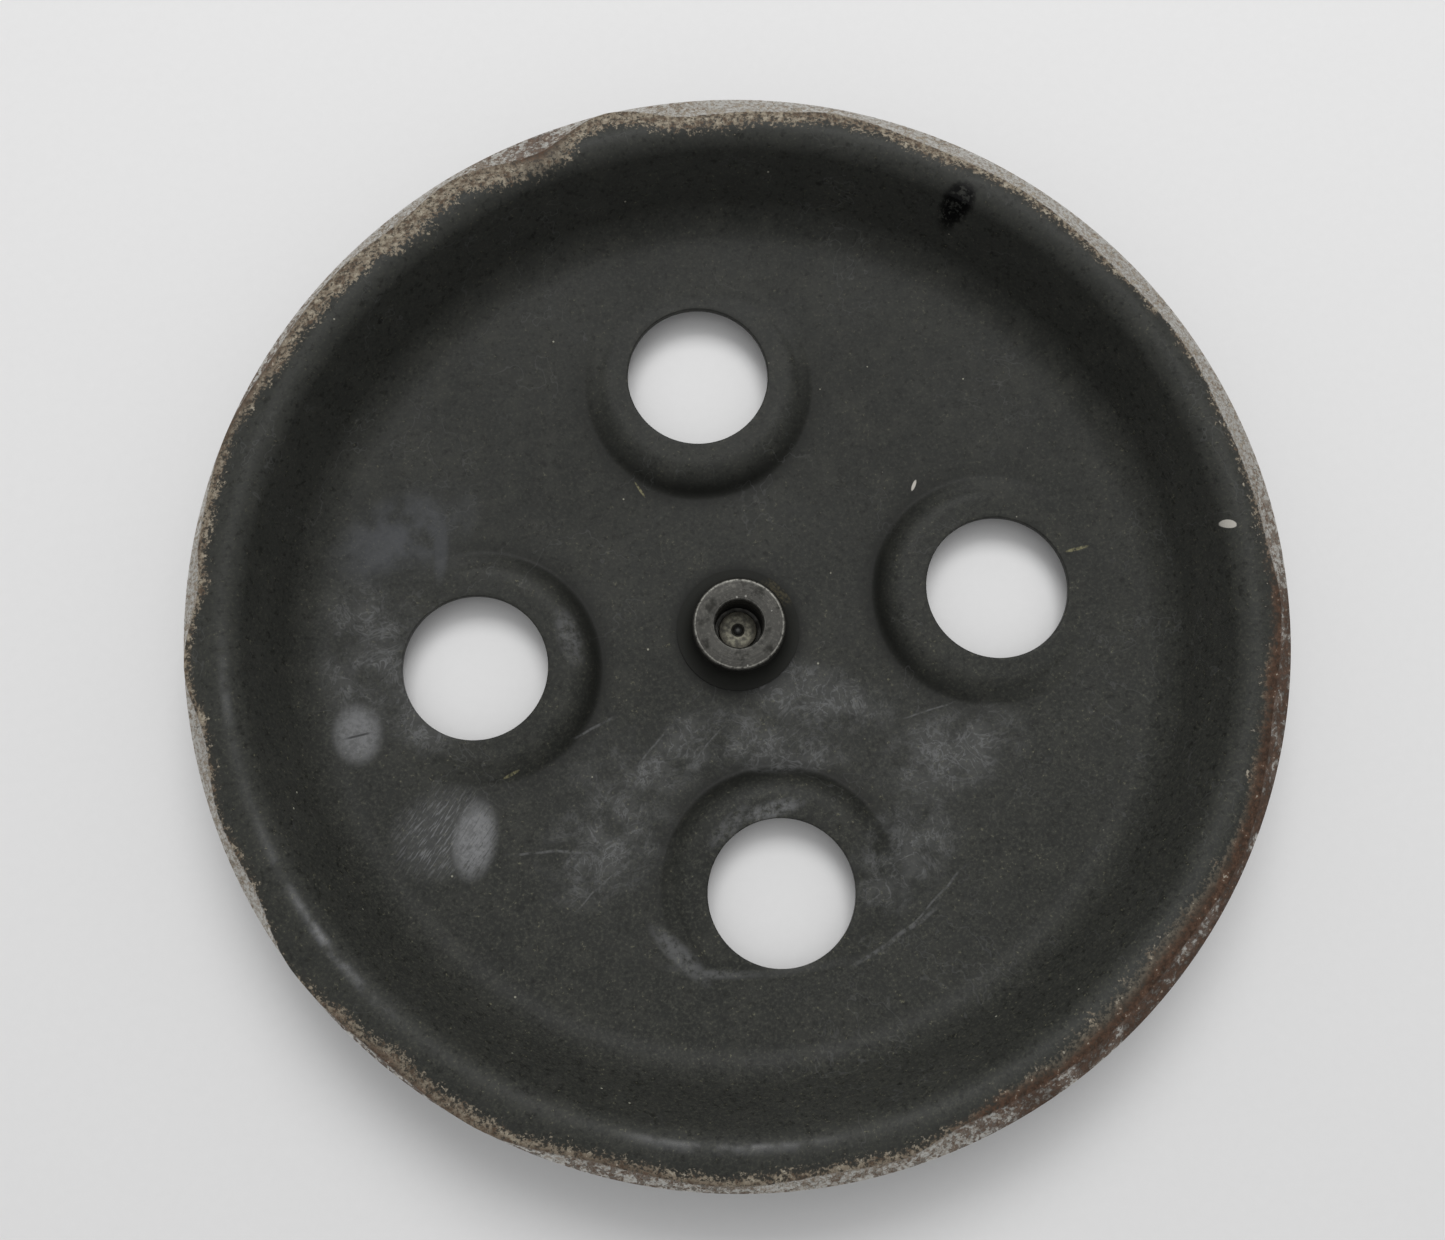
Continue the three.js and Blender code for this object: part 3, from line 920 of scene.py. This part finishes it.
# %% Near the cut: paint broken into tan specks and rust
def flaked_edge(f, tone):
    """The tone with its broken edge, and a mask of the rough places."""
    ragged = f.edge + 5.0 * (f.middling - 0.5) + 3.5 * (f.grit - 0.5)
    flaked = f.rise(ragged + 7.5 * f.flaking + 0.8, 0.0, 4.5)
    tan_specks = f.rise(f.fine + 0.25 * flaked, 0.62, 0.76) * f.rise(flaked, 0.02, 0.3)
    thinned = f.rise(f.rusty, 0.6, 0.9) * (1 - f.rise(f.middling, 0.50, 0.60))
    tan_specks = tan_specks * (1 - 0.7 * thinned)
    tan_tone = f.layer(f.rise(f.grit, 0.35, 0.65), (0.088, 0.062, 0.043), (0.270, 0.235, 0.180))
    stain = f.rise(ragged + 5.0 * f.flaking + 1.0, 0.0, 5.0) * 0.65
    tone = f.layer(stain, tone, (0.062, 0.049, 0.036))
    tone = f.layer(tan_specks, tone, tan_tone)
    rust = f.rise(ragged + 7.0 * (f.rusty - 0.62), -1.5, 1.5) * (1 - f.rise(f.edge, 9.0, 12.0))
    rust = rust * f.rise(f.fine + 0.4 * f.rusty + 0.5 * (f.grit - 0.5), 0.66, 0.84)
    rust_tone = f.layer(f.rise(f.grit, 0.35, 0.7), (0.036, 0.022, 0.015), (0.098, 0.057, 0.038))
    tone = f.layer(rust, tone, rust_tone)
    flakes = f.rise(f.grit + 0.12 * (f.fine - 0.5), 0.64, 0.70)
    flakes = flakes * f.rise(ragged + 3.5 * f.rusty + 2.5 * f.flaking, -0.5, 2.0)
    tone = f.layer(flakes * 0.75, tone, (0.36, 0.33, 0.27))
    return tone, rust.combine("MAXIMUM", tan_specks * 0.7)


# %% Past the cut: bare turned steel
def turned_edge(f):
    """Where the steel is bare, and its tone."""
    scale = f.rise(f.grit + 0.3 * (f.middling - 0.5) + 0.20 * (f.rusty - 0.5), 0.47, 0.58)
    bare = f.rise(f.edge + 1.4 * (f.grit - 0.5) + 0.8 * (f.fine - 0.5), -0.1, 0.35)
    crusted = f.rise(f.rusty, 0.70, 0.95) * f.rise(f.middling, 0.38, 0.54)
    bare = bare * (1 - scale * 0.85) * (1 - 0.85 * crusted)
    turning = f.clouds(1.0, 2.0, 0.6, place=f.node(
        "ShaderNodeCombineXYZ", None, {0: f.radius * 3.0, 1: f.z * 3.0, 2: f.x * 0.06}))
    tone = f.layer(turning, (0.36, 0.35, 0.32), (0.72, 0.715, 0.68))
    return bare, f.layer(f.rise(f.fine, 0.42, 0.62) * 0.75, tone, (0.27, 0.215, 0.165))


# %% Lay the finishes over each other
def worn_black_paint():
    f = PaintedDisc("worn_black_paint")
    tone, crumbs = sound_paint(f)
    rubbing_and_highlight = rubbed_marks_and_highlight(f)
    # This layer also paints the highlight along the lower pad's crease.
    tone = f.layer(rubbing_and_highlight, tone, (0.155, 0.157, 0.158))
    knocks_and_highlights = knocked_marks_and_highlights(f)
    # This layer also paints the highlights on the pads.
    tone = f.layer(knocks_and_highlights, tone, (0.215, 0.217, 0.222))
    tone = small_marks(f, tone)
    polished_and_highlighted = polished_roll_and_highlight(f)
    # Painted highlight: a pale bluish grey along the polished band of the roll, where the lamp's streak
    # falls.
    tone = f.layer(polished_and_highlighted * 0.30 * f.rise(f.grit, 0.25, 0.6), tone, (0.175, 0.18, 0.195))
    tar = tar_spot(f)
    tone = f.layer(tar, tone, (0.004, 0.004, 0.004))
    tone, crust = flaked_edge(f, tone)
    bare, steel_tone = turned_edge(f)
    tone = f.layer(bare, tone, steel_tone)
    roughness = f.blend(f.middling, 0.42, 0.58)
    roughness = f.blend(rubbing_and_highlight + knocks_and_highlights, roughness, 0.62)
    roughness = f.blend(tar, roughness, 0.12)
    roughness = f.blend(crust, roughness, 0.85)
    roughness = f.blend(bare, roughness, 0.42)
    height = 0.06 * f.fine + 0.10 * f.middling + 0.30 * crumbs
    height = height + 0.22 * f.grit * f.rise(f.edge, -6.0, 0.0)
    return f.done(tone, roughness, bare * 0.85, height, 0.35,
                  **{"Specular IOR Level": 0.14, "Coat Weight": polished_and_highlighted * 0.6, "Coat Roughness": 0.22})


put_piece("disc_pressing", disc_mesh, "wheel", "wheel_disc", worn_black_paint())

# %% [markdown]
# ## Turned pieces
#
# The hub, the thrust button and the ball all came off a lathe, so each is an outline swung round the
# axis. Blender could do this with a Screw modifier, but writing the rings directly keeps the exact
# heights of the frame, and lets every corner have the small radius that a worn edge has.

# %% A lathe for closed outlines
CORNER_STEPS = 4


def rounded(corners):
    """An outline from (radius, height, corner radius) rows, each corner replaced by an arc."""
    outline = []
    for i, (radius, height, bend) in enumerate(corners):
        here = np.array([radius, height])
        if bend == 0:
            outline.append(here)
            continue
        to_last = np.array(corners[i - 1][:2]) - here
        to_next = np.array(corners[(i + 1) % len(corners)][:2]) - here
        to_last /= np.linalg.norm(to_last)
        to_next /= np.linalg.norm(to_next)
        half = math.acos(np.clip(to_last @ to_next, -1, 1)) / 2
        setback = bend / math.tan(half)
        middle = here + (to_last + to_next) / np.linalg.norm(to_last + to_next) * bend / math.sin(half)
        a, b = here + to_last * setback - middle, here + to_next * setback - middle
        for t in np.linspace(0, 1, CORNER_STEPS):
            spoke = a * (1 - t) + b * t
            outline.append(middle + spoke / np.linalg.norm(spoke) * bend)
    return np.array(outline)


def lathe(name, outline, columns, closed=True):
    """Swings an outline round +Z. A closed outline makes a ring, an open one ends on the axis."""
    patches = Patches()
    turn = circle(columns)
    line = np.vstack([outline, outline[:1]]) if closed else outline
    grid = np.array([np.stack([r * np.cos(turn), r * np.sin(turn), np.full(columns, h)], -1)
                     for r, h in line])
    patches.add(grid)
    return patches.mesh(name)


# %% [markdown]
# ## The hub
#
# A short steel boss with a rounded foot on the web. Its tail goes through the disc and is riveted
# over on the back, which is what holds the two together. Its face has a painted highlight, with some
# wear, along the rim and the socket's mouth, and its foot is darkened with painted shade and grime.
# The socket in it is plain bored, but for one shallow ring that is cut a little way down.

# %% Turn the hub
HUB_RADIUS = 11.5
FOOT_RADIUS = hub_high[0]
FOOT_FILLET = FOOT_RADIUS - HUB_RADIUS
FOOT_EDGE = 0.5
TENON_RADIUS = 10.0
HEAD_RADIUS = 12.5
SOCKET_RADIUS = 5.85
HEAD_ROUND = 1.15
RIM_CHAMFER = 0.6
MOUTH_CHAMFER = 0.4
BUTTON_CLEARANCE = 0.05
SEAT_RADIUS = button_high[0] + BUTTON_CLEARANCE
GROOVE_DEPTH = 1.0
GROOVE_FLOOR = button_high[2] - GROOVE_DEPTH
BORE_RING_HEIGHT = HUB_FACE - 3.4
BORE_RING_HALF = 0.25
BORE_RING_CUT = 0.2


def hub_outline():
    fillet = [(FOOT_RADIUS - FOOT_FILLET * math.sin(a),
               WEB_FACE + FOOT_EDGE + FOOT_FILLET * (1 - math.cos(a)), 0)
              for a in np.linspace(0, math.pi / 2, 12)]
    return rounded([
        (SEAT_RADIUS, 0, 0.15), (HEAD_RADIUS, 0, HEAD_ROUND), (HEAD_RADIUS, WEB_BACK, 0),
        (TENON_RADIUS, WEB_BACK, 0), (TENON_RADIUS, WEB_FACE, 0), (FOOT_RADIUS, WEB_FACE, 0),
        *fillet,
        (HUB_RADIUS, HUB_FACE - RIM_CHAMFER, 0.3), (HUB_RADIUS - RIM_CHAMFER, HUB_FACE, 0.25),
        (SOCKET_RADIUS + MOUTH_CHAMFER, HUB_FACE, 0.12),
        (SOCKET_RADIUS, HUB_FACE - MOUTH_CHAMFER, 0.12),
        (SOCKET_RADIUS, BORE_RING_HEIGHT + BORE_RING_HALF, 0.05),
        (SOCKET_RADIUS + BORE_RING_CUT, BORE_RING_HEIGHT, 0.05),
        (SOCKET_RADIUS, BORE_RING_HEIGHT - BORE_RING_HALF, 0.05),
        (SOCKET_RADIUS, GROOVE_FLOOR, 0.2), (SEAT_RADIUS, GROOVE_FLOOR, 0),
    ])


def turned_steel():
    f = Finish("dulled_turned_steel")
    fine = f.clouds(0.8, 4.0, 0.65)
    blotches = f.clouds(3.0, 4.0, 0.6)
    rings = f.clouds(1.0, 3.0, 0.7, place=f.node(
        "ShaderNodeCombineXYZ", None, {0: f.radius * 2.6, 1: f.z * 2.6, 2: f.y * 0.06}))
    tone = f.layer(rings, (0.028, 0.0275, 0.0255), (0.062, 0.0605, 0.055))
    tone = f.layer(f.rise(fine, 0.48, 0.68) * 0.45, tone, (0.098, 0.095, 0.084))
    tone = f.layer(f.rise(blotches, 0.48, 0.68) * 0.75, tone, (0.014, 0.0138, 0.0122))
    on_top = f.rise(f.z, HUB_FACE - 0.5, HUB_FACE - 0.2)
    # Painted highlight with some wear: thin pale rings along the face's outer edge and the socket's
    # mouth.
    rim_line = (1 - f.rise(abs(f.radius - HUB_RADIUS + 0.65), 0.15, 0.45)) * on_top
    mouth_line = (1 - f.rise(f.radius, SOCKET_RADIUS + 0.35, SOCKET_RADIUS + 0.6)) * on_top
    edge_highlight_and_wear = (rim_line * 0.8).combine("MAXIMUM", mouth_line * 0.35) * f.rise(fine, 0.3, 0.6)
    tone = f.layer(edge_highlight_and_wear, tone, (0.21, 0.205, 0.185))
    nicks = f.specks(2.6, 0.42, 0.2) * on_top
    tone = f.layer(nicks * 0.7, tone, (0.20, 0.195, 0.18))
    # Painted shade with some grime: the hub is darkened towards its foot on the web, where shade falls.
    grime_and_shade = 1 - f.rise(f.z + 1.2 * (blotches - 0.5), WEB_FACE + 2.5, WEB_FACE + 8.0)
    grime_and_shade = grime_and_shade * f.rise(f.z, 2.6, 3.2)
    tone = f.layer(grime_and_shade * 0.95, tone, (0.0115, 0.0120, 0.0100))
    residue = patch_mask(f, (11.5, 8.0), (4.0, 3.0), 0, 0.6) * grime_and_shade * f.rise(fine, 0.4, 0.6)
    tone = f.layer(residue * 0.45, tone, (0.085, 0.072, 0.040))
    bore = (1 - f.rise(f.radius, SOCKET_RADIUS + 0.05, SOCKET_RADIUS + 0.3)) * f.rise(f.z, 2.0, 2.5)
    tone = f.layer(bore * 0.5, tone, (0.030, 0.029, 0.026))
    roughness = f.blend(grime_and_shade, f.blend(blotches, 0.34, 0.55), 0.75)
    height = 0.12 * rings + 0.05 * fine + 0.3 * nicks
    return f.done(tone, roughness, 0.85 - grime_and_shade * 0.85, height, 0.2, **{"Specular IOR Level": 0.2})


hub_mesh = lathe("hub_boss", hub_outline(), 144)
put_piece("hub_boss", hub_mesh, "wheel", "hub", turned_steel(), sharp=30)

# %% [markdown]
# ## The thrust button and its ball
#
# The spindle's end runs on a hard ball, which sits in a cup in a warm-toned plug at the socket's
# floor. The ball has a small polished flat on top, where the spindle has run on it.

# %% Turn the button and the ball
BUTTON_RADIUS = button_high[0]
BUTTON_FACE = button_high[2]
BALL_RADIUS = ball_high[0]
BALL_HEIGHT = frame["record"]["behaviour"]["joints"][0]["pos_m"][2] / MM
BALL_CLEARANCE = 0.1
CUP_RADIUS = BALL_RADIUS + BALL_CLEARANCE
CUP_MOUTH_RADIUS = 1.68
CUP_MOUTH_DEPTH = 0.4
BALL_FLAT_RADIUS = 0.38


def button_outline():
    lip = math.asin((BUTTON_FACE - CUP_MOUTH_DEPTH - BALL_HEIGHT) / CUP_RADIUS)
    cup = [(CUP_RADIUS * math.cos(a), BALL_HEIGHT + CUP_RADIUS * math.sin(a))
           for a in np.linspace(lip, -math.pi / 2, 18)]
    shell = rounded([(0, 0, 0), (BUTTON_RADIUS, 0, 0.3), (BUTTON_RADIUS, BUTTON_FACE, 0.3),
                     (CUP_MOUTH_RADIUS, BUTTON_FACE, 0.08), (*cup[0], 0)])
    cup[-1] = (0.0, cup[-1][1])
    return np.vstack([shell[:-1], cup])


def ball_outline():
    top = math.acos(BALL_FLAT_RADIUS / BALL_RADIUS)
    arc = [(BALL_RADIUS * math.cos(a), BALL_HEIGHT + BALL_RADIUS * math.sin(a))
           for a in np.linspace(-math.pi / 2, top, 40)]
    arc[0] = (0.0, arc[0][1])
    return np.array([*arc, (0.0, arc[-1][1])])


def worn_bronze():
    f = Finish("worn_button_bronze")
    blotches = f.clouds(1.4, 4.0, 0.65)
    rings = f.clouds(1.0, 2.0, place=f.node("ShaderNodeCombineXYZ", None, {0: f.radius * 5, 1: f.z}))
    tone = f.layer(f.rise(blotches, 0.35, 0.68), (0.055, 0.052, 0.041), (0.235, 0.225, 0.170))
    # Painted shade with some dirt: the plug is darker towards its rim, beside the groove at the bore's
    # wall.
    dirt_and_shade = f.rise(f.radius + 0.8 * (blotches - 0.5), 3.4, 4.5)
    tone = f.layer(dirt_and_shade * 0.6, tone, (0.05, 0.044, 0.032))
    mouth = 1 - f.rise(f.radius, CUP_MOUTH_RADIUS - 0.1, CUP_MOUTH_RADIUS + 0.25)
    tone = f.layer(mouth * 0.8, tone, (0.035, 0.034, 0.030))
    return f.done(tone, f.blend(blotches, 0.38, 0.6), 0.55, 0.2 * rings + 0.2 * blotches, 0.1)


def ball_steel():
    f = Finish("run_ball_steel")
    smears = f.clouds(0.5, 3.0)
    tone = f.layer(smears, (0.045, 0.046, 0.044), (0.110, 0.113, 0.107))
    return f.done(tone, f.blend(smears, 0.45, 0.62), 0.7, smears, 0.01)


button_mesh = lathe("thrust_plug", button_outline(), 96, closed=False)
put_piece("thrust_plug", button_mesh, "wheel", "thrust_button", worn_bronze())
ball_mesh = lathe("running_ball", ball_outline(), 64, closed=False)
put_piece("running_ball", ball_mesh, "ball", "thrust_ball", ball_steel())
